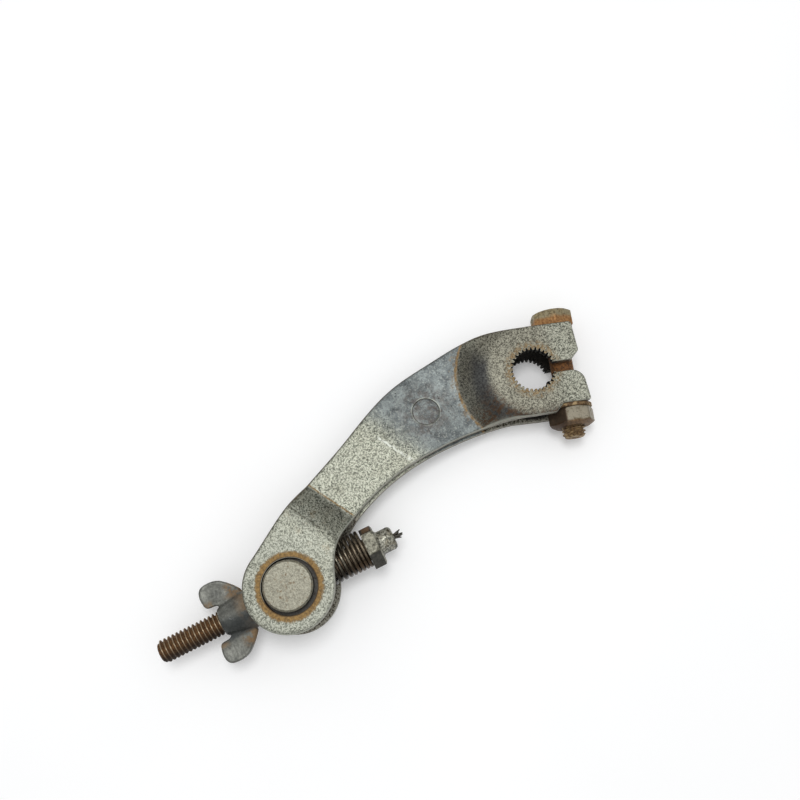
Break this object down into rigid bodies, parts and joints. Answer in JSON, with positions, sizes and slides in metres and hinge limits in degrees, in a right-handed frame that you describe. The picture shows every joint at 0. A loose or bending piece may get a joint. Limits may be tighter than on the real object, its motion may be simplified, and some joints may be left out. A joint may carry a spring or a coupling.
{
  "type": "brake cam lever",
  "caption": "Two-plate brake cam lever with a serrated clamp bore, a pinch bolt and a swivelling cable adjuster with wing nut and spring.",
  "frame": {"origin": "centre of the serrated bore, midway between the two plates of the clamp", "axes": "+Z along the bore towards the side shown in the picture, +X from the bore to the trunnion pin, +Y towards the hollow edge of the arm"},
  "size_m": [0.1809, 0.0562, 0.0222],
  "materials": {
    "plate_zinc": "weathered zinc",
    "rusty_steel": "rust-stained",
    "nut_steel": "dull zinc",
    "pin_steel": "dull, worn",
    "rod_steel": "rust-stained",
    "spring_steel": "dark, oily",
    "wing_iron": "weathered zinc, cast",
    "wire_steel": "dark, frayed"
  },
  "bodies": {
    "lever": {"front_plate": "plate_zinc", "rear_plate": "plate_zinc", "plate_rivet": "plate_zinc", "clamp_bolt": "rusty_steel", "clamp_lock_washer": "rusty_steel", "clamp_nut": "nut_steel"},
    "trunnion": {"trunnion_pin": "pin_steel", "return_spring": "spring_steel"},
    "rod": {"adjuster_rod": "rod_steel", "cable_strands": "wire_steel"},
    "wing_nut": {"wing_nut": "wing_iron"}
  },
  "joints": [
    {"name": "trunnion_pivot", "type": "hinge", "parent": "lever", "child": "trunnion", "pos_m": [0.109, 0, 0.003], "axis": [0, 0, 1], "range_deg": [-45, 4]},
    {"name": "wing_nut_spin", "type": "hinge", "parent": "trunnion", "child": "wing_nut", "pos_m": [0.10909, 0.00034, 0.003], "axis": [0.9641, -0.2656, 0], "range_deg": [-360, 2160]},
    {"name": "rod_slide", "type": "slide", "parent": "trunnion", "child": "rod", "axis": [-0.9641, 0.2656, 0], "range_m": [-0.00141, 0.00847], "deforming": ["return_spring"]}
  ],
  "couplings": [
    {"joint": "wing_nut_spin", "follows": "rod_slide", "rad_per_m": 4452.7}
  ]
}
